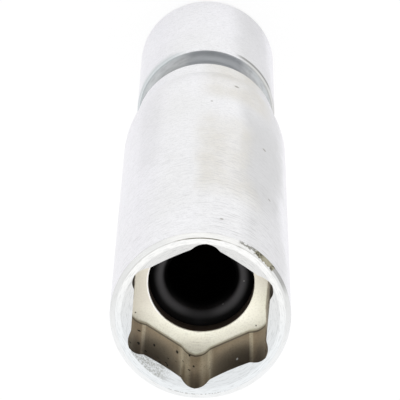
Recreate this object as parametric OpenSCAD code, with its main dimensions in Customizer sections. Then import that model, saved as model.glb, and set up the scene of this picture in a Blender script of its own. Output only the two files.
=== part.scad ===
// Deep socket for spark plugs: a steel body with a hexagon mouth and a square drive end,
// and a rubber insert that grips the plug. It stands on its drive end, and the mouth faces up.

/* [Outside] */
// Length from the drive end to the mouth
length = 90; // [80:1:120]
// Length of the collar, from the drive end to the groove
collar_length = 21; // [17:0.5:24]
// How much the round shoulder widens the collar's radius to the barrel's
shoulder_step = 1.25; // [0.5:0.05:2]
// Length of the round shoulder
shoulder_length = 8; // [5:0.5:12]
// Length of the straight neck between the groove and the shoulder
neck_length = 3.4; // [1:0.1:6]
// Width of the turned groove
groove_width = 6.1; // [3:0.1:8]
// Depth of the turned groove
groove_depth = 1.6; // [1:0.1:2]
// Radius in the two corners of the groove's floor
groove_corner_r = 0.8; // [0.2:0.1:0.9]
// Radius on the collar's edge at the groove
collar_edge_r = 0.4; // [0.2:0.1:0.9]
// Chamfer around the drive end
drive_end_chamfer = 0.5; // [0.2:0.1:1]

/* [Mouth] */
// Size of the plug's hexagon, across its flats
plug_hex = 16; // [14:0.5:21]
// Room between the plug's hexagon and the mouth, across the flats
hex_clearance = 0.1; // [0.05:0.05:0.3]
// Depth of the hexagon, from the mouth to the ledge
hex_depth = 10; // [8:0.5:14]
// Width of each driving flat, between the relieved corners
flat_width = 5.6; // [4.5:0.1:6.4]
// How far a relieved corner reaches past a sharp one
corner_relief = 0.05; // [0.02:0.01:0.2]
// Thickness of the wall outside the relieved corners
mouth_wall = 1.4; // [1.2:0.1:3]
// Slope of the lead-in cone, from the face of the mouth
lead_in_angle = 30; // [20:5:45]
// Room between the relieved corners and the rim of the lead-in cone
lead_in_margin = 0.05; // [0.02:0.01:0.2]
// Width of the outer bevel around the mouth
bevel_width = 0.65; // [0.2:0.05:0.9]
// Drop of that bevel
bevel_drop = 0.25; // [0.1:0.05:0.6]

/* [Bore] */
// Width of the ledge between the hexagon's flats and the bore
ledge_width = 1.6; // [1:0.1:2]
// Step that the insert's inner end rests on
seat_step = 0.65; // [0.3:0.05:0.8]
// Thickness of the web between the bore and the square hole
web = 2; // [1:0.5:4]
// Diameter of the pilot hole through the web
pilot_d = 9; // [7:0.1:9.4]
// Slope of the bore's floor, left by the drill's point
drill_point_angle = 31; // [20:1:45]

/* [Square drive] */
// Size of the wrench's square, across its flats
drive_square = 9.525; // [9.4:0.025:9.7]
// Room between the wrench's square and its hole, across the flats
drive_clearance = 0.1; // [0.05:0.05:0.2]
// Depth of the square hole
drive_depth = 12; // [11:0.5:15]
// How much of each corner of the square hole is cut off
drive_corner_cut = 0.35; // [0.1:0.05:0.6]
// Depth of the chamfer where the wrench goes in
drive_entry = 1.7; // [0.5:0.1:1.8]
// Height of the ball groove's middle, from the drive end
ball_height = 5.5; // [5:0.1:6.5]
// Radius of the ball groove's section
ball_groove_r = 2; // [1.5:0.1:2.5]
// Depth of the ball groove in the flats
ball_groove_depth = 0.5; // [0.2:0.1:0.8]

/* [Rubber insert] */
// Length of the insert
insert_length = 14; // [10:0.5:18]
// Depth of the insert's lip below the ledge
insert_recess = 0.9; // [0.3:0.1:2]
// Hole through the lip that grips the insulator
grip_d = 8.5; // [8:0.1:9]
// Length of the lip's grip
grip_length = 3.6; // [2.5:0.1:5]
// Wall of the sleeve behind the lip
sleeve_wall = 1.2; // [0.8:0.1:1.5]
// Length of the taper from the lip to the hole behind it
relief_taper = 1.2; // [0.5:0.1:2]
// Height of the bead that holds the insert in its seat
bead_height = 0.6; // [0.3:0.1:1]
// Width of that bead
bead_width = 3; // [2:0.5:4]
// Room between the insert and its seat, all round
insert_clearance = 0.05; // [0.02:0.01:0.1]

/* [Hidden] */
$fn = 180;

// How far a cut runs past the face that it opens
past = 1;

// The mouth's flats, and the lobes that relieve its corners
flat_r = (plug_hex + hex_clearance) / 2;
corner_r = flat_r / cos(30);
lobe_tip_r = corner_r + corner_relief;
// Where a flat ends, along and across the line from the axis to its corner
flat_end_along = flat_r * cos(30) + flat_width / 2 * sin(30);
flat_end_across = flat_r * sin(30) - flat_width / 2 * cos(30);
lobe_centre_r = (pow(lobe_tip_r, 2) - pow(flat_end_along, 2) - pow(flat_end_across, 2))
    / (2 * (lobe_tip_r - flat_end_along));
lobe_r = lobe_tip_r - lobe_centre_r;
lead_in_r = lobe_tip_r + lead_in_margin;
ledge_z = length - hex_depth;

// The outside, from the drive end up
barrel_r = lobe_tip_r + mouth_wall;
collar_r = barrel_r - shoulder_step;
groove_top = collar_length + groove_width;
groove_floor_r = collar_r - groove_depth;
shoulder_base = groove_top + neck_length;
shoulder_top = shoulder_base + shoulder_length;
// The shoulder is an arc that runs smoothly into the barrel
shoulder_r = (pow(shoulder_length, 2) + pow(shoulder_step, 2)) / (2 * shoulder_step);

// The bore and the square hole
seat_r = flat_r - ledge_width;
cavity_r = seat_r - seat_step;
pilot_r = pilot_d / 2;
cavity_floor_z = drive_depth + web;
drill_point_top = cavity_floor_z + (cavity_r - pilot_r) * tan(drill_point_angle);
drive_flat_r = (drive_square + drive_clearance) / 2;
drive_corner_r = drive_flat_r * sqrt(2) - drive_corner_cut;

// The insert in its seat
insert_top = ledge_z - insert_recess;
insert_base = insert_top - insert_length;
insert_r = seat_r - insert_clearance;
grip_r = grip_d / 2;
relief_r = insert_r - sleeve_wall;
// The lip is as round as its wall is thick
lip_r = (insert_r - grip_r) / 2;
lip_z = insert_top - lip_r;
grip_base = insert_top - grip_length;
bead_z = (insert_base + grip_base) / 2;
// How deep the bead's root runs into the sleeve
bead_root = sleeve_wall / 2;

// A cone, frustum or cylinder between two heights
module frustum(low_z, low_r, high_z, high_r) {
    translate([0, 0, low_z])
        cylinder(h = high_z - low_z, r1 = low_r, r2 = high_r);
}

// A round ridge around the axis, for the insert's bead and for the ring groove that it fills
module ridge(base_r) {
    arc_r = (pow(bead_width / 2, 2) + pow(bead_height, 2)) / (2 * bead_height);
    rotate_extrude()
        intersection() {
            translate([base_r + bead_height - arc_r, bead_z]) circle(arc_r);
            translate([base_r - bead_root, bead_z - bead_width / 2])
                square([bead_root + bead_height, bead_width]);
        }
}

// Half of the body's outside, from the axis out
module outside_half() {
    difference() {
        union() {
            square([collar_r, shoulder_top]);
            translate([0, shoulder_top]) square([barrel_r, length - shoulder_top]);
            intersection() {
                translate([barrel_r - shoulder_r, shoulder_top]) circle(shoulder_r);
                translate([0, shoulder_base]) square([barrel_r, shoulder_length]);
            }
        }
        groove_half();
        collar_edge_half();
        end_bevels_half();
    }
}

// The turned groove: straight walls, and a floor with round corners
module groove_half() {
    straight_r = groove_floor_r + groove_corner_r;
    translate([straight_r, collar_length])
        square([groove_depth + past, groove_width]);
    translate([groove_floor_r, collar_length + groove_corner_r])
        square([groove_corner_r, groove_width - 2 * groove_corner_r]);
    for (z = [collar_length + groove_corner_r, groove_top - groove_corner_r])
        translate([straight_r, z]) circle(groove_corner_r);
}

// What rounds the collar's edge at the groove
module collar_edge_half() {
    translate([collar_r - collar_edge_r, collar_length - collar_edge_r])
        difference() {
            square([collar_edge_r + past, collar_edge_r + past]);
            circle(collar_edge_r);
        }
}

// The chamfer around the drive end and the bevel around the mouth
module end_bevels_half() {
    polygon([
        [collar_r - drive_end_chamfer - past, -past],
        [collar_r + past, drive_end_chamfer + past],
        [collar_r + past, -past]
    ]);
    bevel_slope = bevel_drop / bevel_width;
    polygon([
        [barrel_r - bevel_width - past, length + bevel_slope * past],
        [barrel_r + past, length - bevel_drop - bevel_slope * past],
        [barrel_r + past, length + past]
    ]);
}

// The mouth's outline: a hexagon whose corners open into round lobes,
// so that the wrench drives on the flats and spares the plug's corners
module hex_outline() {
    rotate(30) circle(corner_r, $fn = 6);
    for (corner = [0 : 5])
        rotate(corner * 60 + 30) translate([lobe_centre_r, 0]) circle(lobe_r);
}

// The hexagon with its lead-in cone
module mouth_cut() {
    translate([0, 0, ledge_z])
        linear_extrude(hex_depth + past) hex_outline();
    slope = tan(lead_in_angle);
    frustum(length - lead_in_r * slope, 0, length + past, lead_in_r + past / slope);
}

// The stepped bore: the insert's seat with its ring groove, the insulator's room and the pilot hole
module bore_cut() {
    frustum(insert_base, seat_r, ledge_z + past, seat_r);
    ridge(seat_r);
    frustum(drill_point_top, cavity_r, insert_base + past, cavity_r);
    frustum(cavity_floor_z, pilot_r, drill_point_top, cavity_r);
    frustum(drive_depth - past, pilot_r, cavity_floor_z + past, pilot_r);
}

// The square hole, with its chamfer and the groove that the wrench's ball snaps into
module drive_cut() {
    translate([0, 0, -past])
        linear_extrude(drive_depth + past)
            intersection() {
                square(2 * drive_flat_r, center = true);
                circle(drive_corner_r);
            }
    frustum(-past, drive_flat_r + drive_entry + past, drive_entry, drive_flat_r);
    translate([0, 0, ball_height])
        rotate_extrude()
            translate([drive_flat_r + ball_groove_depth - ball_groove_r, 0]) circle(ball_groove_r);
}

module socket_body() {
    color([0.86, 0.86, 0.88])
        difference() {
            rotate_extrude() outside_half();
            mouth_cut();
            bore_cut();
            drive_cut();
        }
}

// Half of the insert's section: the round lip, the grip below it and the thinner sleeve
module insert_half() {
    translate([grip_r + lip_r, lip_z]) circle(lip_r);
    translate([grip_r, grip_base]) square([insert_r - grip_r, lip_z - grip_base]);
    polygon([
        [relief_r, insert_base],
        [insert_r, insert_base],
        [insert_r, grip_base],
        [grip_r, grip_base],
        [relief_r, grip_base - relief_taper]
    ]);
}

module rubber_insert() {
    color([0.07, 0.07, 0.08]) {
        rotate_extrude() insert_half();
        ridge(insert_r);
    }
}

socket_body();
rubber_insert();
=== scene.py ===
import math

import bpy
from mathutils import Matrix, Vector


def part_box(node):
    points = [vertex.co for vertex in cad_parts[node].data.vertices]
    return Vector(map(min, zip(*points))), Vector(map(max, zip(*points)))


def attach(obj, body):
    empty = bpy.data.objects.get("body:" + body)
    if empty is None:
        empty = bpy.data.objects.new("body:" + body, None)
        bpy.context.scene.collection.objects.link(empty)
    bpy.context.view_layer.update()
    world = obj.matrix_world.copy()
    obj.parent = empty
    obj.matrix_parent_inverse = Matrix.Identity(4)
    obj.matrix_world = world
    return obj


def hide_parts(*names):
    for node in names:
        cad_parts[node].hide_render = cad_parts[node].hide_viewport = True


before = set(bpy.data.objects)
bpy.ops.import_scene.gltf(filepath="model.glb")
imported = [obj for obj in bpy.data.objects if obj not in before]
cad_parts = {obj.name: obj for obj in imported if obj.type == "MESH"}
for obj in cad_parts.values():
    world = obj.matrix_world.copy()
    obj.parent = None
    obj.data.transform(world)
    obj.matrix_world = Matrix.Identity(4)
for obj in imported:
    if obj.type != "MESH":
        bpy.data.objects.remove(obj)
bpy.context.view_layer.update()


# The steel body: one piece of alloy steel, turned on a lathe, with its hexagon and its square broached.
# Pale satin plating covers the outside and the rim, and is thin and brown inside the mouth.
# It stands on its drive end and carries the rubber insert.
MM = 0.001
body_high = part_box("socket_body")[1]
insert_low, insert_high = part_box("rubber_insert")

# The outside
length = body_high.z
barrel_r = body_high.x
shoulder_step = 1.25 * MM
shoulder_length = 8 * MM
neck_length = 3.4 * MM
collar_length = 21 * MM
collar_r = barrel_r - shoulder_step
collar_edge_r = 0.4 * MM
drive_end_chamfer = 0.5 * MM
groove_width = 6.1 * MM
groove_depth = 1.6 * MM
groove_corner_r = 0.8 * MM
groove_floor_r = collar_r - groove_depth
groove_top = collar_length + groove_width
shoulder_base = groove_top + neck_length
shoulder_top = shoulder_base + shoulder_length
shoulder_r = (shoulder_length**2 + shoulder_step**2) / (2 * shoulder_step)
shoulder_spread = math.degrees(math.asin(shoulder_length / shoulder_r))
bevel_width = 0.65 * MM
bevel_drop = 0.25 * MM
rim_r = barrel_r - bevel_width
# Fine rounding of the turned edges, and a wide one where the shoulder leaves the neck
edge_r = 0.12 * MM
shoulder_corner_r = 2.5 * MM

# The mouth
plug_hex = 16 * MM
hex_clearance = 0.1 * MM
hex_depth = 10 * MM
flat_width = 5.6 * MM
corner_relief = 0.05 * MM
lead_in_margin = 0.05 * MM
lead_in_slope = math.tan(math.radians(30))
half_sixth = math.radians(30)
flat_r = (plug_hex + hex_clearance) / 2
lobe_tip_r = flat_r / math.cos(half_sixth) + corner_relief
lead_in_r = lobe_tip_r + lead_in_margin
hexagon_top = length - (lead_in_r - flat_r) * lead_in_slope
ledge_z = length - hex_depth
ledge_corner_r = 0.25 * MM
# How far the edges between the flats and the lobes are worn round
flat_edge_wear = 0.4 * MM
# Where a flat ends, along and across the line from the axis to its corner, gives the circle of the lobe
flat_end_along = flat_r * math.cos(half_sixth) + flat_width / 2 * math.sin(half_sixth)
flat_end_across = flat_r * math.sin(half_sixth) - flat_width / 2 * math.cos(half_sixth)
flat_end_squared = flat_end_along**2 + flat_end_across**2
flat_end_angle = math.atan2(flat_end_across, flat_end_along)
lobe_centre_r = (lobe_tip_r**2 - flat_end_squared) / (2 * (lobe_tip_r - flat_end_along))
lobe_r = lobe_tip_r - lobe_centre_r

# The bore and the square hole
ledge_width = 1.6 * MM
seat_step = 0.65 * MM
web = 2 * MM
pilot_r = 4.5 * MM
drill_point_slope = math.tan(math.radians(31))
drive_square = 9.525 * MM
drive_clearance = 0.1 * MM
drive_depth = 12 * MM
drive_corner_cut = 0.35 * MM
drive_entry = 1.7 * MM
ball_height = 5.5 * MM
ball_groove_r = 2 * MM
ball_groove_depth = 0.5 * MM
seat_r = flat_r - ledge_width
cavity_r = seat_r - seat_step
cavity_floor_z = drive_depth + web
drill_point_top = cavity_floor_z + (cavity_r - pilot_r) * drill_point_slope
drive_flat_r = (drive_square + drive_clearance) / 2
drive_corner_r = drive_flat_r * math.sqrt(2) - drive_corner_cut
ball_centre_r = drive_flat_r + ball_groove_depth - ball_groove_r
# The ring groove for the insert's bead, halfway between the insert's inner end and its grip
grip_length = 3.6 * MM
grip_base = insert_high.z - grip_length
bead_height = 0.6 * MM
bead_width = 3 * MM
bead_z = (insert_low.z + grip_base) / 2
bead_arc_r = ((bead_width / 2) ** 2 + bead_height**2) / (2 * bead_height)
bead_spread = math.degrees(math.asin(bead_width / 2 / bead_arc_r))

# The middle of the pale front, around the axis in degrees
pale_front = -92
# Single marks on the plating, in the hexagon and on the ledge: radius, angle in degrees, height and size
barrel_marks = [
    (barrel_r, -109, 37.3 * MM, 0.45 * MM),
    (barrel_r, -132, 54.3 * MM, 0.4 * MM),
    (barrel_r, -99, 84.9 * MM, 0.3 * MM),
    (barrel_r, -136, 70.0 * MM, 0.3 * MM),
    (barrel_r, -91, 45.1 * MM, 0.22 * MM),
]
wall_pits = [
    (8.29 * MM, 74, ledge_z + 3.0 * MM, 0.24 * MM),
    (9.22 * MM, 85.5, ledge_z + 1.1 * MM, 0.18 * MM),
    (8.16 * MM, 51, ledge_z + 5.1 * MM, 0.2 * MM),
    (8.90 * MM, 38, ledge_z + 6.7 * MM, 0.22 * MM),
    (8.08 * MM, 65, ledge_z + 8.4 * MM, 0.16 * MM),
    (9.34 * MM, 89, ledge_z + 3.8 * MM, 0.16 * MM),
]
# A painted glint on one wall, given the same way
wall_glints = [(8.1 * MM, 127, ledge_z + 7.0 * MM, 0.17 * MM)]
ledge_marks = [(8.9 * MM, 30.4, ledge_z, 0.13 * MM), (8.7 * MM, 144.5, ledge_z, 0.13 * MM)]
# How much longer the marks in the hexagon are along the broach's way than across it
broach_stretch = 2.5

FINISHES = ("Plated", "Broached", "Bored")
PLATED, BROACHED, BORED = range(len(FINISHES))
# What a row of the section carries besides its radius and height: the outlines it follows, and its finish
RULES = ("hexagon", "lead_in", "square", "entry", "groove", "swing", "zone")


def row(reach, height, rounding=0, **rules):
    """A corner of a turned section. Its reach is its radius, or is counted from the outline it follows."""
    return {"reach": reach, "height": height, "rounding": rounding, "zone": PLATED, **rules}


def arc(centre, radius, start, end, steps, **rules):
    """Rows along an arc of the section, from one angle to another in degrees."""
    angles = [math.radians(start + (end - start) * step / steps) for step in range(steps + 1)]
    return [
        row(centre[0] + radius * math.cos(angle), centre[1] + radius * math.sin(angle), **rules)
        for angle in angles
    ]


def rounded(corners, steps):
    """The section's rows, with each rounded corner as an arc that has a row close to each of its ends."""
    spots = [Vector((c["reach"], c["height"])) for c in corners]
    rows = []
    for number, here in enumerate(corners):
        radius = here["rounding"]
        if not radius:
            rows.append(here)
            continue
        spot = spots[number]
        coming = (spots[number - 1] - spot).normalized()
        going = (spots[(number + 1) % len(spots)] - spot).normalized()
        half_angle = coming.angle(going) / 2
        tangent = radius / math.tan(half_angle)
        centre = spot + (coming + going).normalized() * radius / math.sin(half_angle)
        start = (spot + coming * tangent - centre).normalized()
        end = (spot + going * tangent - centre).normalized()
        points = [centre + radius * start.slerp(end, step / steps) for step in range(steps + 1)]
        guard = 0.2 * radius
        points = [points[0] + coming * guard, *points, points[-1] + going * guard]
        rows += [{**here, "reach": x, "height": z} for x, z in points]
    return rows


def both_ways(operation):
    """An operator's two methods, for a wire on its left and for a wire on its right."""

    def left(self, other):
        return self.maths(operation, self, other)

    def right(self, other):
        return self.maths(operation, other, self)

    return left, right


class Wire:
    """An output socket of a node. Arithmetic on it adds Math nodes, and node() adds any other kind."""

    def __init__(self, tree, socket=None):
        self.tree = tree
        self.socket = socket

    @staticmethod
    def pick(sockets, name):
        """A node's socket, by its number or by its name."""
        if isinstance(name, int):
            return sockets[name]
        return next(s for s in sockets if s.enabled and s.name == name)

    def node(self, kind, settings=None, sockets=None, output=0):
        """A new node with these settings, and with these values and links in its sockets."""
        added = self.tree.nodes.new(kind)
        for name, value in (settings or {}).items():
            setattr(added, name, value)
        for name, value in (sockets or {}).items():
            socket = self.pick(added.inputs, name)
            if isinstance(value, Wire):
                self.tree.links.new(value.socket, socket)
            else:
                socket.default_value = value
        return Wire(self.tree, self.pick(added.outputs, output) if added.outputs else None)

    def maths(self, operation, *terms):
        """A Math node with these terms, each a wire or a number."""
        return self.node("ShaderNodeMath", {"operation": operation}, dict(enumerate(terms)))

    __add__, __radd__ = both_ways("ADD")
    __sub__, __rsub__ = both_ways("SUBTRACT")
    __mul__, __rmul__ = both_ways("MULTIPLY")
    __truediv__, __rtruediv__ = both_ways("DIVIDE")
    __mod__, __rmod__ = both_ways("FLOORED_MODULO")
    __pow__, __rpow__ = both_ways("POWER")

    def __abs__(self):
        return self.maths("ABSOLUTE", self)

    def largest(self, other):
        """The larger one of this value and another."""
        return self.maths("MAXIMUM", self, other)

    def root(self):
        """The square root, and 0 for a value below 0."""
        return self.maths("SQRT", self.largest(0))

    def fade(self, start, end):
        """0 up to start and 1 from end on, with a smooth rise between them."""
        return self.node(
            "ShaderNodeMapRange",
            {"interpolation_type": "SMOOTHSTEP"},
            {"Value": self, "From Min": start, "From Max": end},
        )

    def tint(self, colour, other):
        """The first colour where this value is 0, and the other where it is 1."""
        return self.node(
            "ShaderNodeMix",
            {"data_type": "RGBA"},
            {"Factor": self, "A": colour, "B": other},
            output="Result",
        )


def tree_inputs(tree):
    """Gives the turning tree its named inputs, with a wire from each."""
    sizes = ("Flat distance", "Lobe centre", "Lobe radius", "Flat edge wear", "Lead-in slope")
    sizes += ("Square half width", "Square corner", "Ball groove centre", "Ball groove radius")
    kinds = {"Section": "NodeSocketGeometry", "Turns": "NodeSocketInt"}
    kinds.update(dict.fromkeys(sizes, "NodeSocketFloat"))
    kinds.update(dict.fromkeys(FINISHES, "NodeSocketMaterial"))
    for name, kind in kinds.items():
        tree.interface.new_socket(name, in_out="INPUT", socket_type=kind)
    return {name: Wire(tree).node("NodeGroupInput", output=name) for name in kinds}


def hexagon_outline(wire, given, angle):
    """The radius to the nearest flat of the hexagon, or to the nearest lobe where that reaches further."""
    off_flat = (angle + half_sixth) % (2 * half_sixth) - half_sixth
    off_corner = angle % (2 * half_sixth) - half_sixth
    flat_line = given["Flat distance"] / wire.maths("COSINE", off_flat)
    beside = given["Lobe centre"] * wire.maths("SINE", off_corner)
    half_chord = (given["Lobe radius"] ** 2 - beside**2).root()
    lobe_line = given["Lobe centre"] * wire.maths("COSINE", off_corner) + half_chord
    return wire.maths("SMOOTH_MAX", flat_line, lobe_line, given["Flat edge wear"])


def turned_section_tree():
    """A tree that turns a section about the Z axis, on circles or along the hexagon or the square."""
    tree = bpy.data.node_groups.new("turned_section", "GeometryNodeTree")
    given = tree_inputs(tree)
    tree.interface.new_socket("Shape", in_out="OUTPUT", socket_type="NodeSocketGeometry")
    wire = Wire(tree)
    section = given["Section"]
    turns = given["Turns"]

    # A grid with one row of points for each row of the section, and the first row again to close it
    rows = wire.node("GeometryNodeAttributeDomainSize", {"component": "MESH"}, {"Geometry": section})
    columns = turns + 1
    grid = wire.node("GeometryNodeMeshGrid", None, {"Vertices X": rows + 1, "Vertices Y": columns})
    index = wire.node("GeometryNodeInputIndex")
    point_row = wire.maths("FLOOR", (index + 0.5) / columns)
    face_row = wire.maths("FLOOR", (index + 0.5) / turns)

    def sampled(value, at_row, data_type="FLOAT"):
        return wire.node(
            "GeometryNodeSampleIndex",
            {"data_type": data_type, "domain": "POINT"},
            {"Geometry": section, "Value": value, "Index": at_row % rows},
        )

    def rule(name, at_row=point_row):
        named = wire.node("GeometryNodeInputNamedAttribute", {"data_type": "FLOAT"}, {"Name": name})
        return sampled(named, at_row)

    spot = sampled(wire.node("GeometryNodeInputPosition"), point_row, "FLOAT_VECTOR")
    reach = wire.node("ShaderNodeSeparateXYZ", None, {"Vector": spot}, output="X")
    height = wire.node("ShaderNodeSeparateXYZ", None, {"Vector": spot}, output="Z")
    angle = (index % columns) * (2 * math.pi) / turns
    cosine = wire.maths("COSINE", angle)
    sine = wire.maths("SINE", angle)
    hexagon = hexagon_outline(wire, given, angle)

    # The square, with its corners cut round, and the ball groove where it reaches past the square's flats
    widest = abs(cosine).largest(abs(sine))
    square = wire.maths("MINIMUM", given["Square half width"] / widest, given["Square corner"])
    ball_centre, ball_r = given["Ball groove centre"], given["Ball groove radius"]
    swing = rule("swing") * (ball_r**2 - (square - ball_centre) ** 2).root()
    groove = ball_centre + (ball_r**2 - swing**2).root()

    radius = (reach + rule("hexagon") * hexagon + rule("square") * square).largest(rule("groove") * groove)
    lead_in = rule("lead_in") * (hexagon - given["Flat distance"]) * given["Lead-in slope"]
    entry = rule("entry") * (given["Square half width"] - square)
    place = wire.node(
        "ShaderNodeCombineXYZ",
        None,
        {"X": radius * cosine, "Y": radius * sine, "Z": height + lead_in + entry + swing},
    )

    zoned = wire.node(
        "GeometryNodeStoreNamedAttribute",
        {"data_type": "FLOAT", "domain": "FACE"},
        {"Geometry": grid, "Name": "zone", "Value": rule("zone", face_row)},
    )
    placed = wire.node("GeometryNodeSetPosition", None, {"Geometry": zoned, "Position": place})
    seam_gap = 0.002 * MM
    closed = wire.node("GeometryNodeMergeByDistance", None, {"Geometry": placed, "Distance": seam_gap})

    # Smooth shading all over, apart from the edges that are sharper than this crease
    crease = math.radians(18)
    smooth = wire.node("GeometryNodeSetShadeSmooth", {"domain": "FACE"}, {"Geometry": closed})
    sharp = wire.node("GeometryNodeInputMeshEdgeAngle") - crease
    shape = wire.node(
        "GeometryNodeSetShadeSmooth",
        {"domain": "EDGE"},
        {"Geometry": smooth, "Selection": sharp, "Shade Smooth": False},
    )
    shape = wire.node("GeometryNodeRealizeInstances", None, {"Geometry": shape})
    zone = wire.node("GeometryNodeInputNamedAttribute", {"data_type": "FLOAT"}, {"Name": "zone"})
    for number, name in enumerate(FINISHES):
        chosen = wire.maths("COMPARE", zone, number, 0.5)
        shape = wire.node(
            "GeometryNodeSetMaterial",
            None,
            {"Geometry": shape, "Selection": chosen, "Material": given[name]},
        )
    wire.node("NodeGroupOutput", None, {"Shape": shape})
    return tree


def turned_piece(name, section, tree, inputs):
    """The section, turned by the tree with these inputs, as an object with a plain mesh."""
    mesh = bpy.data.meshes.new(name)
    places = [(r["reach"], 0, r["height"]) for r in section]
    mesh.from_pydata(places, [(i, i + 1) for i in range(len(places) - 1)], [])
    for rule in RULES:
        values = mesh.attributes.new(rule, "FLOAT", "POINT").data
        for value, r in zip(values, section):
            value.value = r.get(rule, 0)
    piece = bpy.data.objects.new(name, mesh)
    bpy.context.scene.collection.objects.link(piece)
    modifier = piece.modifiers.new("turning", "NODES")
    modifier.node_group = tree
    for item in tree.interface.items_tree:
        if item.name in inputs:
            modifier[item.identifier] = inputs[item.name]
    evaluated = piece.evaluated_get(bpy.context.evaluated_depsgraph_get())
    made = bpy.data.meshes.new_from_object(evaluated)
    piece.modifiers.remove(modifier)
    piece.data = made
    made.name = name
    bpy.data.meshes.remove(mesh)
    return piece


def new_finish(name):
    """A new material, and a wire to build its nodes from."""
    material = bpy.data.materials.new(name)
    material.use_nodes = True
    material.node_tree.nodes.clear()
    return material, Wire(material.node_tree)


def surface(wire, **sockets):
    """Ends a material in one shader with these values and links."""
    names = {name.replace("_", " "): value for name, value in sockets.items()}
    shader = wire.node("ShaderNodeBsdfPrincipled", None, names)
    wire.node("ShaderNodeOutputMaterial", None, {"Surface": shader})


def relief(wire, height):
    """A slight bump from a height that goes from 0 to about 1."""
    return wire.node("ShaderNodeBump", None, {"Strength": 0.15, "Distance": 0.02 * MM, "Height": height})


def own_place(wire):
    """A point's place in the piece's own coordinates."""
    return wire.node("ShaderNodeTexCoord", output="Object")


def around_axis(wire):
    """The radius, the angle around the axis and the height of a point on the piece."""
    x, y, z = (
        wire.node("ShaderNodeSeparateXYZ", None, {"Vector": own_place(wire)}, output=axis) for axis in "XYZ"
    )
    return (x * x + y * y).root(), wire.maths("ARCTAN2", y, x), z


def grain(wire, stretch, detail=2):
    """Noise from 0 to 1, with this many cells in a metre along X, Y and Z."""
    cells = wire.node("ShaderNodeVectorMath", {"operation": "MULTIPLY"}, {0: own_place(wire), 1: stretch})
    return wire.node("ShaderNodeTexNoise", None, {"Vector": cells, "Scale": 1, "Detail": detail})


def turning(wire, across, along):
    """Noise from 0 to 1 in rings about the axis, with its cells in a metre across and in a radian along."""
    radius, angle, z = around_axis(wire)
    sockets = {"X": radius * across, "Y": angle * along, "Z": z * across}
    cells = wire.node("ShaderNodeCombineXYZ", None, sockets)
    return wire.node("ShaderNodeTexNoise", None, {"Vector": cells, "Scale": 1, "Detail": 3})


def specks(wire, cells, size, share):
    """Round specks: this many cells in a metre, their size in cells, and the share of cells that have one."""
    sockets = {"Vector": own_place(wire), "Scale": cells}
    near = wire.node("ShaderNodeTexVoronoi", None, sockets, output="Distance")
    colour = wire.node("ShaderNodeTexVoronoi", None, sockets, output="Color")
    lot = wire.node("ShaderNodeSeparateColor", None, {"Color": colour}, output="Red")
    return (1 - near.fade(size / 2, size)) * lot.fade(1 - share, 1.01 - share)


def marks_at(wire, marks, stretch=1):
    """Single marks, each given by its radius, angle in degrees, height and size, and stretched along Z."""
    total = None
    for radius, degrees, height, size in marks:
        around = math.radians(degrees)
        middle = (radius * math.cos(around), radius * math.sin(around), height)
        squeeze = (1, 1, 1 / stretch)
        offset = wire.node("ShaderNodeVectorMath", {"operation": "SUBTRACT"}, {0: own_place(wire), 1: middle})
        offset = wire.node("ShaderNodeVectorMath", {"operation": "MULTIPLY"}, {0: offset, 1: squeeze})
        distance = wire.node("ShaderNodeVectorMath", {"operation": "LENGTH"}, {0: offset}, output="Value")
        mark = 1 - distance.fade(0.45 * size, size)
        total = mark if total is None else total.largest(mark)
    return total


def between(value, low, high, soft):
    """1 where a value lies between two bounds, fading over a soft width past them."""
    return value.fade(low - soft, low) * (1 - value.fade(high, high + soft))


def about(angle, degrees, half, soft):
    """1 within a half width of a direction around the axis, fading over a soft width past it, in degrees."""
    turn = (angle - math.radians(degrees - 180)) % math.radians(360) - math.radians(180)
    return 1 - abs(turn).fade(math.radians(half), math.radians(half + soft))


def plated_outside(wire, marks, fine, smear):
    """The outside's colour: pale, with a painted lilac reflection on the sides, bands of painted dark
    reflection, soft stains, turning marks and a few dark specks.
    """
    angle, z = around_axis(wire)[1:]
    cloud = grain(wire, (110, 110, 70), detail=4)
    uneven = angle + 0.7 * (cloud - 0.5)

    colour = cloud.fade(0.3, 0.7).tint((0.92, 0.92, 0.94, 1), (0.87, 0.87, 0.875, 1))
    # Painted reflection: the sides turned away from the front take a lilac tone
    away_from_front = 1 - about(angle, pale_front, 25, 30)
    colour = (0.6 * away_from_front).tint(colour, (0.87, 0.86, 0.91, 1))
    on_collar = 1 - z.fade(10 * MM, 19 * MM)
    colour = (0.5 * on_collar).tint(colour, (0.95, 0.945, 0.985, 1))

    # Painted dark reflection: bands down the barrel made duller and greyer
    dark_reflection_bands = (1 + 0.8 * between(z, 48 * MM, 70 * MM, 8 * MM)) * about(uneven, -133, 10, 16)
    dark_reflection_bands = dark_reflection_bands + 0.45 * about(angle, -45, 4, 10) * between(z, 42 * MM, 58 * MM, 10 * MM)
    colour = (0.45 * dark_reflection_bands * (0.5 + cloud)).tint(colour, (0.62, 0.62, 0.625, 1))
    barrel_stain = about(uneven, -101, 13, 13) * between(z, 54 * MM, 73 * MM, 7 * MM)
    neck_stain = about(angle, -112, 14, 20) * between(z, 28 * MM, 40 * MM, 5 * MM)
    stains = (0.46 * barrel_stain + 0.48 * neck_stain) * (0.6 + 0.6 * smear.fade(0.3, 0.7))
    colour = stains.tint(colour, (0.70, 0.665, 0.58, 1))

    colour = (0.2 * marks.fade(0.4, 0.75) + 0.2 * fine.fade(0.4, 0.7)).tint(colour, (0.55, 0.55, 0.56, 1))
    scored = turning(wire, 4200, 5).fade(0.5, 0.72) * z.fade(48 * MM, 66 * MM)
    scored = scored * (0.3 + 0.3 * about(angle, -122, 20, 20))
    colour = scored.tint(colour, (0.52, 0.52, 0.525, 1))
    dark_marks = (0.65 * marks_at(wire, barrel_marks)).largest(0.6 * specks(wire, 230, 0.07, 0.08))
    return dark_marks.tint(colour, (0.2, 0.17, 0.13, 1))


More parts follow.
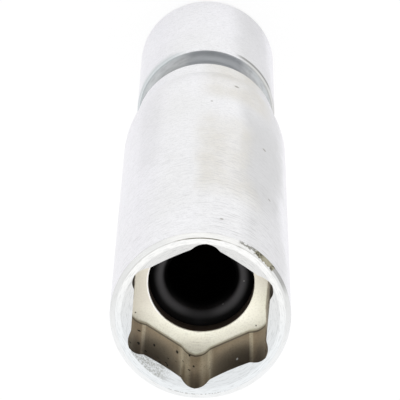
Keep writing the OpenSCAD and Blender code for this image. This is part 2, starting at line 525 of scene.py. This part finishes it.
def inside_groove(wire):
    """1 on the groove's walls and floor."""
    radius, _, z = around_axis(wire)
    level = between(z, collar_length - 0.02 * MM, groove_top, 0.02 * MM)
    return level * (1 - radius.fade(collar_r - 0.35 * MM, collar_r - 0.1 * MM))


def groove_shade_and_rings(wire):
    """The groove's painted shade: grey, with turning marks, painted lighter towards the sides and on the wall
    there.
    """
    radius, angle = around_axis(wire)[:2]
    sides = 1 - about(angle, -96, 20, 16)
    wall = sides * radius.fade(groove_floor_r + 0.2 * MM, groove_floor_r + 0.9 * MM)
    groove = sides.tint((0.46, 0.474, 0.492, 1), (0.54, 0.548, 0.555, 1))
    groove = wall.tint(groove, (0.65, 0.665, 0.673, 1))
    return (0.35 * turning(wire, 3000, 6).fade(0.45, 0.7)).tint(groove, (0.36, 0.37, 0.38, 1))


def collar_edge(wire):
    """1 on the collar's round edge at the groove, apart from its front."""
    radius, angle, z = around_axis(wire)
    level = between(z, collar_length - 0.4 * MM, collar_length + 0.01 * MM, 0.1 * MM)
    outside = radius.fade(collar_r - 0.5 * MM, collar_r - 0.4 * MM)
    return level * outside * (1 - about(angle, pale_front, 18, 20))


def collar_shade_and_reflection(wire, colour, in_groove, shaded_collar_edge):
    """The colour with painted shade on the collar's round edge and beside one end of it, and a painted dark
    reflection along the other end.
    """
    radius, angle, z = around_axis(wire)
    # Painted shade on the collar beside one end of the groove
    beside = z.fade(collar_length - 2.2 * MM, collar_length - 0.3 * MM) * (1 - in_groove)
    beside = beside * (1 - z.fade(collar_length, collar_length + 0.05 * MM))
    colour = (0.5 * beside * about(angle, -36, 14, 18)).tint(colour, (0.50, 0.54, 0.555, 1))
    # Painted shade on the collar's round edge, lighter towards one end
    edge_tone = about(angle, -30, 30, 30).tint((0.66, 0.66, 0.65, 1), (0.66, 0.69, 0.70, 1))
    colour = (0.8 * shaded_collar_edge).tint(colour, edge_tone)
    # Painted dark reflection: a thin dark line along the collar's edge at one end
    dark_reflection_line = between(z, collar_length - 0.75 * MM, collar_length - 0.3 * MM, 0.2 * MM)
    dark_reflection_line = dark_reflection_line * about(angle, -134, 15, 9) * radius.fade(collar_r - 0.3 * MM, collar_r - 0.2 * MM)
    return (0.8 * dark_reflection_line).tint(colour, (0.26, 0.26, 0.25, 1))


def around_mouth(wire):
    """1 on the bevel, on the mouth's face and in the lead-in cone."""
    radius, _, z = around_axis(wire)
    bevel_base = length - bevel_drop
    outer = z.fade(bevel_base - 0.05 * MM, bevel_base + 0.02 * MM)
    inner = z.fade(hexagon_top - 0.1 * MM, hexagon_top) * (1 - radius.fade(rim_r, barrel_r))
    return outer.largest(inner)


def plated_rim(wire, rings):
    """The colour of the mouth's face and of the bevel around it, with fine rings from the lathe."""
    radius, angle = around_axis(wire)[:2]
    # Painted light: the bevel is painted darker at the front and lighter on the far side, and the face turns
    # bluer on the far side
    far_side = wire.maths("SINE", angle).fade(-0.6, 0.6)
    face = far_side.tint((0.80, 0.80, 0.79, 1), (0.77, 0.795, 0.81, 1))
    face = (0.4 * rings.fade(0.45, 0.75)).tint(face, (0.48, 0.495, 0.495, 1))
    near_bevel = about(angle, pale_front, 18, 20).tint((0.73, 0.735, 0.73, 1), (0.84, 0.84, 0.825, 1))
    bevel = far_side.tint(near_bevel, (0.90, 0.91, 0.915, 1))
    bevel = (0.3 * rings.fade(0.45, 0.75)).tint(bevel, (0.62, 0.62, 0.60, 1))
    return radius.fade(rim_r, rim_r + 0.06 * MM).tint(face, bevel)


def worn_rim(wire, colour, fine, smear):
    """The colour with chips, thin wear and bare steel on the bevel, and dark lines along its inner edge."""
    radius, angle, z = around_axis(wire)
    at_top = z.fade(length - 0.45 * MM, length - 0.3 * MM)
    ragged = radius + 0.5 * MM * (grain(wire, (2200, 2200, 2200), detail=4) - 0.5)
    chipped = at_top * ragged.fade(rim_r + 0.28 * MM, rim_r + 0.36 * MM) * about(angle, -119, 6, 3)
    chipped = chipped * turning(wire, 6000, 22).fade(0.42, 0.52)
    colour = (0.8 * chipped).tint(colour, (0.17, 0.165, 0.14, 1))
    thin_wear = at_top * radius.fade(rim_r + 0.2 * MM, rim_r + 0.32 * MM) * about(angle, -145, 5, 13)
    colour = (0.75 * thin_wear).tint(colour, (0.3, 0.3, 0.29, 1))

    bare = at_top * ragged.fade(rim_r + 0.1 * MM, rim_r + 0.18 * MM) * about(angle, -132, 7.5, 2)
    olive = smear.fade(0.3, 0.7).tint((0.19, 0.18, 0.13, 1), (0.42, 0.40, 0.31, 1))
    bare_ends = about(angle, -126, 1.5, 3) + about(angle, -139, 1, 2)
    olive = (0.8 * bare_ends * fine.fade(0.4, 0.6)).tint(olive, (0.06, 0.055, 0.04, 1))
    colour = bare.tint(colour, olive)

    inner_edge = between(radius, rim_r - 0.04 * MM, rim_r + 0.05 * MM, 0.05 * MM)
    inner_edge = inner_edge * z.fade(length - 0.1 * MM, length)
    lines = about(angle, pale_front, 16, 10) * smear.fade(0.35, 0.55) + 0.3 * about(angle, -85, 50, 20)
    lines = lines + 0.6 * about(angle, 92, 17, 6) * turning(wire, 3000, 30).fade(0.45, 0.55)
    return (0.75 * inner_edge * lines).tint(colour, (0.2, 0.19, 0.16, 1))


def satin_plating():
    """Pale satin plating, with painted shade in the groove, and brighter and worn around the mouth."""
    material, wire = new_finish("satin_plating")
    radius, angle = around_axis(wire)[:2]
    marks = grain(wire, (1600, 1600, 4500))
    fine = grain(wire, (5000, 5000, 5000))
    smear = grain(wire, (350, 350, 200), detail=4)
    rings = turning(wire, 7000, 9)
    in_groove = inside_groove(wire)
    shaded_collar_edge = collar_edge(wire)
    at_mouth = around_mouth(wire)

    colour = plated_outside(wire, marks, fine, smear)
    # Painted shade fills the groove
    colour = in_groove.tint(colour, groove_shade_and_rings(wire))
    colour = collar_shade_and_reflection(wire, colour, in_groove, shaded_collar_edge)
    colour = at_mouth.tint(colour, plated_rim(wire, rings))
    rubbed = at_mouth * (1 - radius.fade(lead_in_r - 0.1 * MM, lead_in_r + 0.1 * MM))
    rubbed = rubbed * about(angle, 48, 11, 13) * (0.3 * rings.fade(0.3, 0.6) + 0.65 * fine.fade(0.42, 0.56))
    colour = rubbed.tint(colour, (0.28, 0.285, 0.27, 1))
    colour = worn_rim(wire, colour, fine, smear)

    roughness = 0.36 + 0.12 * marks + 0.25 * in_groove + 0.2 * shaded_collar_edge
    roughness = roughness + at_mouth * (0.15 + 0.04 * marks + 0.3 * rubbed - roughness)
    bump = relief(wire, marks + 0.3 * fine)
    surface(wire, Base_Color=colour, Metallic=1.0, Roughness=roughness, Normal=bump)
    return material


def broached_wall(wire, fine, cloud):
    """The brown of the hexagon's walls, with painted highlights along the lobes' edges and on the lobes'
    sides, and painted shade towards the mouth.
    """
    angle, z = around_axis(wire)[1:]
    off_corner = abs(angle % (2 * half_sixth) - half_sixth)
    wall = cloud.fade(0.3, 0.7).tint((0.265, 0.202, 0.142, 1), (0.34, 0.266, 0.194, 1))
    # Painted highlight along the edges between the flats and the lobes
    lobe_edge_highlight = 1 - abs(off_corner - flat_end_angle).fade(math.radians(0.6), math.radians(1.8))
    wall = (0.65 * lobe_edge_highlight).tint(wall, (0.64, 0.58, 0.48, 1))
    # Painted highlight on the lobes' sides on the far side of the hexagon
    lobe_side_highlight = between(off_corner, math.radians(6), math.radians(12), math.radians(4))
    wall = (0.5 * lobe_side_highlight * about(angle, 90, 18, 6)).tint(wall, (0.66, 0.59, 0.48, 1))
    # Painted shade: the walls darken towards the mouth
    wall = (0.5 * z.fade(ledge_z + 4 * MM, ledge_z + 9.5 * MM)).tint(wall, (0.09, 0.06, 0.038, 1))
    return (0.35 * fine.fade(0.45, 0.7)).tint(wall, (0.13, 0.1, 0.072, 1))


def pitted_wall(wire):
    """1 in the walls' pits: single ones, a few specks all round, and more specks on a rough side."""
    angle, z = around_axis(wire)[1:]
    rough_side = about(angle, 62, 30, 10) * z.fade(ledge_z + 2 * MM, ledge_z + 5 * MM)
    pits = marks_at(wire, wall_pits, broach_stretch).largest(specks(wire, 700, 0.2, 0.15))
    return pits.largest(rough_side * specks(wire, 1100, 0.26, 0.4))


def turned_ledge(wire, fine, cloud):
    """The pale ledge with its turning marks, with painted shade on two sides, a painted highlight along part
    of the bore's edge, and painted shade where it meets the walls.
    """
    radius, angle, z = around_axis(wire)
    ledge = cloud.fade(0.3, 0.7).tint((0.93, 0.923, 0.79, 1), (0.97, 0.968, 0.85, 1))
    ledge = (0.32 * fine.fade(0.45, 0.7)).tint(ledge, (0.62, 0.6, 0.5, 1))
    rings = turning(wire, 5000, 6).fade(0.5, 0.7) * (0.25 + 0.75 * about(angle, 92, 10, 12))
    ledge = (0.3 * rings).tint(ledge, (0.5, 0.48, 0.39, 1))
    # Painted shade: the ledge is darker everywhere but on its far side
    ledge = (0.65 - 0.65 * about(angle, 108, 54, 34)).tint(ledge, (0.60, 0.56, 0.49, 1))
    ledge = marks_at(wire, ledge_marks).tint(ledge, (0.06, 0.05, 0.03, 1))
    # Painted highlight: a white line along the bore's edge on one side
    seat_edge_highlight = (1 - radius.fade(seat_r + 0.1 * MM, seat_r + 0.22 * MM)) * about(angle, 5, 30, 25)
    ledge = seat_edge_highlight.tint(ledge, (1, 1, 0.97, 1))
    corner_shade = z.fade(ledge_z + 0.08 * MM, ledge_z + 0.2 * MM)
    return (0.6 * corner_shade).tint(ledge, (0.45, 0.425, 0.36, 1))


def broached_steel():
    """The brown, thinly plated walls of the hexagon with their broach lines and pits, and the pale ledge."""
    material, wire = new_finish("broached_steel")
    z = around_axis(wire)[2]
    lines = grain(wire, (3500, 3500, 150))
    fine = grain(wire, (4500, 4500, 4500))
    cloud = grain(wire, (300, 300, 300), detail=4)
    pits = pitted_wall(wire)
    # Painted glint: a small white dot on a wall, not metallic
    glints = marks_at(wire, wall_glints, broach_stretch)

    # The ledge's finish runs up the round corner, and a painted shadow line lies along the foot of the walls
    on_ledge = 1 - z.fade(ledge_z + 0.3 * MM, ledge_z + 0.6 * MM)
    corner_shadow_line = between(z, ledge_z + 0.7 * MM, ledge_z + 0.9 * MM, 0.2 * MM)
    wall = pits.tint(broached_wall(wire, fine, cloud), (0.012, 0.009, 0.006, 1))
    wall = glints.tint(wall, (1, 1, 1, 1))
    wall = (0.9 * corner_shadow_line).tint(wall, (0.06, 0.05, 0.04, 1))
    colour = on_ledge.tint(wall, turned_ledge(wire, fine, cloud))

    metallic = 1 - on_ledge.largest(glints.largest(pits))
    roughness = 0.34 + 0.1 * lines + 0.2 * on_ledge + 0.5 * pits
    bump = relief(wire, lines + 0.5 * fine)
    surface(wire, Base_Color=colour, Metallic=metallic, Roughness=roughness, Normal=bump)
    return material


def bored_steel():
    """The matt brown bore, where the plating hardly reached, with painted shade that turns it nearly black
    deeper in, behind the insert.
    """
    material, wire = new_finish("bored_steel")
    z = around_axis(wire)[2]
    rings = grain(wire, (200, 200, 6000))
    colour = rings.tint((0.14, 0.10, 0.078, 1), (0.23, 0.18, 0.14, 1))
    # Painted shade: the bore turns nearly black away from the lip
    beside_lip = z.fade(insert_high.z - 4 * MM, insert_high.z - 2 * MM)
    colour = beside_lip.tint((0.012, 0.01, 0.008, 1), colour)
    surface(wire, Base_Color=colour, Metallic=0.8, Roughness=0.5 + 0.15 * rings)
    return material


# How many steps the section has in its round stretches, along the barrel and around the ball groove
corner_steps = 6
shoulder_steps = 14
seat_bead_steps = 8
barrel_steps = 9
ball_steps = 12
# The arc's share of the shoulder, which leaves room for the wide rounding at its base
shoulder_share = 0.85
# Two rows on the ledge keep its faces even between the hexagon and the bore
row_by_hexagon = 0.8 * MM
row_by_bore = 0.5 * MM

body_section = [
    row(drive_flat_r + drive_entry, 0, edge_r),
    row(collar_r - drive_end_chamfer, 0, edge_r),
    row(collar_r, drive_end_chamfer, 2 * edge_r),
    row(collar_r, collar_length, collar_edge_r),
    row(groove_floor_r, collar_length, groove_corner_r),
    row(groove_floor_r, groove_top, groove_corner_r),
    row(collar_r, groove_top, edge_r),
    row(collar_r, shoulder_base, shoulder_corner_r),
]
shoulder_centre = (barrel_r - shoulder_r, shoulder_top)
body_section += arc(shoulder_centre, shoulder_r, -shoulder_share * shoulder_spread, 0, shoulder_steps)
for step in range(1, barrel_steps):
    body_section.append(row(barrel_r, shoulder_top + (length - shoulder_top) * step / barrel_steps))
body_section += [
    row(barrel_r, length - bevel_drop, edge_r),
    row(rim_r, length),
    row(lead_in_r, length),
    row(0, hexagon_top, hexagon=1, lead_in=1, zone=BROACHED),
    row(0, ledge_z, ledge_corner_r, hexagon=1, zone=BROACHED),
    row(-row_by_hexagon, ledge_z, hexagon=1, zone=BROACHED),
    row(seat_r + row_by_bore, ledge_z, zone=BROACHED),
    row(seat_r, ledge_z, edge_r, zone=BROACHED),
    row(seat_r, ledge_z - 2 * edge_r, zone=BORED),
]
seat_bead_centre = (seat_r + bead_height - bead_arc_r, bead_z)
body_section += arc(seat_bead_centre, bead_arc_r, bead_spread, -bead_spread, seat_bead_steps, zone=BORED)
body_section += [
    row(seat_r, insert_low.z, zone=BORED),
    row(cavity_r, insert_low.z, zone=BORED),
    row(cavity_r, drill_point_top, zone=BORED),
    row(pilot_r, cavity_floor_z, zone=BORED),
    row(pilot_r, drive_depth),
    row(0, drive_depth, square=1),
]
for step in range(ball_steps + 1):
    body_section.append(row(0, ball_height, square=1, groove=1, swing=1 - 2 * step / ball_steps))
body_section.append(row(0, drive_entry, square=1, entry=1))

section_tree = turned_section_tree()
body_inputs = {
    "Turns": 480,
    "Flat distance": flat_r,
    "Lobe centre": lobe_centre_r,
    "Lobe radius": lobe_r,
    "Flat edge wear": flat_edge_wear,
    "Lead-in slope": lead_in_slope,
    "Square half width": drive_flat_r,
    "Square corner": drive_corner_r,
    "Ball groove centre": ball_centre_r,
    "Ball groove radius": ball_groove_r,
    "Plated": satin_plating(),
    "Broached": broached_steel(),
    "Bored": bored_steel(),
}
body = turned_piece("steel_body", rounded(body_section, corner_steps), section_tree, body_inputs)
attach(body, "root")
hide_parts("socket_body")


# The rubber insert: a black sleeve, moulded in one piece, with a round lip that grips the plug's insulator.
# It is pushed in from the mouth until a bead around it snaps into a ring groove in the bore.
insert_clearance = 0.05 * MM
sleeve_wall = 1.2 * MM
relief_taper = 1.2 * MM
grip_r = 4.25 * MM
insert_r = seat_r - insert_clearance
relief_r = insert_r - sleeve_wall
lip_r = (insert_r - grip_r) / 2
lip_z = insert_high.z - lip_r
# Small pale nicks in the lip: radius, angle in degrees, height and size
lip_nicks = [(5.18 * MM, -176.4, 79.09 * MM, 0.11 * MM), (4.33 * MM, 131.9, 78.42 * MM, 0.1 * MM)]


def black_rubber():
    """Black rubber, with a painted sheen ring on its lip, set a little off the axis, and two nicks."""
    material, wire = new_finish("black_rubber")
    radius, angle, z = around_axis(wire)
    fine = grain(wire, (2500, 2500, 2500))
    dust_and_sheen = grain(wire, (300, 300, 300), detail=4)
    colour = dust_and_sheen.fade(0.45, 0.8).tint((0.0012, 0.0012, 0.0012, 1), (0.004, 0.004, 0.0045, 1))
    # Painted sheen: a pale ring on the lip, set off the axis and dimmer at the far side
    off_axis = radius + 0.55 * MM * wire.maths("SINE", angle) - grip_r
    sheen_ring = off_axis.fade(0.15 * MM, 0.65 * MM) * (1 - off_axis.fade(0.7 * MM, 1.65 * MM))
    sheen_ring = sheen_ring * z.fade(grip_base + 0.8 * MM, lip_z) * (1 - 0.55 * about(angle, 92, 8, 26))
    colour = (sheen_ring * (0.7 + 0.5 * dust_and_sheen)).tint(colour, (0.045, 0.044, 0.046, 1))
    colour = marks_at(wire, lip_nicks).tint(colour, (0.16, 0.16, 0.16, 1))
    roughness = 0.5 + 0.15 * dust_and_sheen + 0.2 * about(angle, 92, 25, 35)
    bump = relief(wire, fine)
    surface(wire, Base_Color=colour, Roughness=roughness, Specular_IOR_Level=0.04, Normal=bump)
    return material


bead_steps = 12
lip_steps = 28
bead_centre = (insert_r + bead_height - bead_arc_r, bead_z)
insert_section = [
    row(grip_r, grip_base),
    row(relief_r, grip_base - relief_taper),
    row(relief_r, insert_low.z, edge_r),
    row(insert_r, insert_low.z, edge_r),
    *arc(bead_centre, bead_arc_r, -bead_spread, bead_spread, bead_steps),
    *arc((insert_r - lip_r, lip_z), lip_r, 0, 180, lip_steps),
]
insert_inputs = {"Turns": 240, **dict.fromkeys(FINISHES, black_rubber())}
insert = turned_piece("rubber_sleeve", rounded(insert_section, corner_steps), section_tree, insert_inputs)
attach(insert, "root")
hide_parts("rubber_insert")


# The floor, the light and the camera: a plain white floor that runs on into a white room. One lamp hangs
# right above the mouth, and two weaker ones on its left and right, a little behind. The camera looks down
# at the mouth from in front, upside down, with a long lens.
floor_half = 2.0
room_light = 0.6


def seen_white(wire, camera_share, mirror_share):
    """How much of its own white a thing shows to the camera, and to the metal that mirrors it."""
    seen = camera_share * wire.node("ShaderNodeLightPath", output="Is Camera Ray")
    for kind in ("Is Glossy Ray", "Is Transmission Ray"):
        seen = seen.largest(mirror_share * wire.node("ShaderNodeLightPath", output=kind))
    return seen


def white_floor():
    """White paper that the camera and the metal see nearly white, with the object's faint shadow."""
    material, wire = new_finish("white_floor")
    # Under the socket the paper shows no white of its own, so that the bore stays dark
    beside_socket = around_axis(wire)[0].fade(collar_r - drive_end_chamfer, collar_r)
    paper = wire.node("ShaderNodeBsdfDiffuse", None, {"Color": (0.95, 0.95, 0.95, 1)})
    white = wire.node("ShaderNodeEmission", None, {"Color": (1, 1, 1, 1), "Strength": 1.0})
    seen = seen_white(wire, camera_share=0.9, mirror_share=0.65) * beside_socket
    mixed = wire.node("ShaderNodeMixShader", None, {0: seen, 1: paper, 2: white})
    wire.node("ShaderNodeOutputMaterial", None, {"Surface": mixed})
    return material


floor_mesh = bpy.data.meshes.new("floor")
floor_corners = [(x * floor_half, y * floor_half, 0) for x, y in ((-1, -1), (1, -1), (1, 1), (-1, 1))]
floor_mesh.from_pydata(floor_corners, [], [(0, 1, 2, 3)])
floor_mesh.materials.append(white_floor())
floor = bpy.data.objects.new("floor", floor_mesh)
bpy.context.scene.collection.objects.link(floor)

world = bpy.data.worlds.new("white_room")
world.use_nodes = True
world.node_tree.nodes.clear()
sky = Wire(world.node_tree)
strength = room_light + (1 - room_light) * seen_white(sky, camera_share=1, mirror_share=1)
background = sky.node("ShaderNodeBackground", None, {"Color": (1, 1, 1, 1), "Strength": strength})
sky.node("ShaderNodeOutputWorld", None, {"Surface": background})
bpy.context.scene.world = world


def soft_lamp(name, place, size, power):
    """A square soft lamp that points at the middle of the mouth."""
    lamp = bpy.data.lights.new(name, "AREA")
    lamp.size = size
    lamp.energy = power
    lamp_object = bpy.data.objects.new(name, lamp)
    lamp_object.location = place
    towards_mouth = Vector((0, 0, length)) - Vector(place)
    lamp_object.rotation_euler = towards_mouth.to_track_quat("-Z", "Y").to_euler()
    bpy.context.scene.collection.objects.link(lamp_object)


soft_lamp("top_lamp", place=(0, 0.03, 0.9), size=0.25, power=3.3)
soft_lamp("left_lamp", place=(0.25, 0.085, 0.89), size=0.2, power=1.5)
soft_lamp("right_lamp", place=(-0.25, 0.085, 0.89), size=0.2, power=1.7)

eye = Vector((7.76, -151.44, 428.68)) * MM
aim = Vector((0.452, 0.022, 53.08)) * MM
roll = math.radians(-178.287)
camera = bpy.data.cameras.new("camera")
camera.sensor_width = 36
camera.lens = 282.44
camera.clip_start = 0.01
camera_object = bpy.data.objects.new("camera", camera)
turn = (aim - eye).to_track_quat("-Z", "Y").to_matrix().to_4x4() @ Matrix.Rotation(roll, 4, "Z")
camera_object.matrix_world = Matrix.Translation(eye) @ turn
bpy.context.scene.collection.objects.link(camera_object)
bpy.context.scene.camera = camera_object
bpy.context.scene.view_settings.view_transform = "Standard"
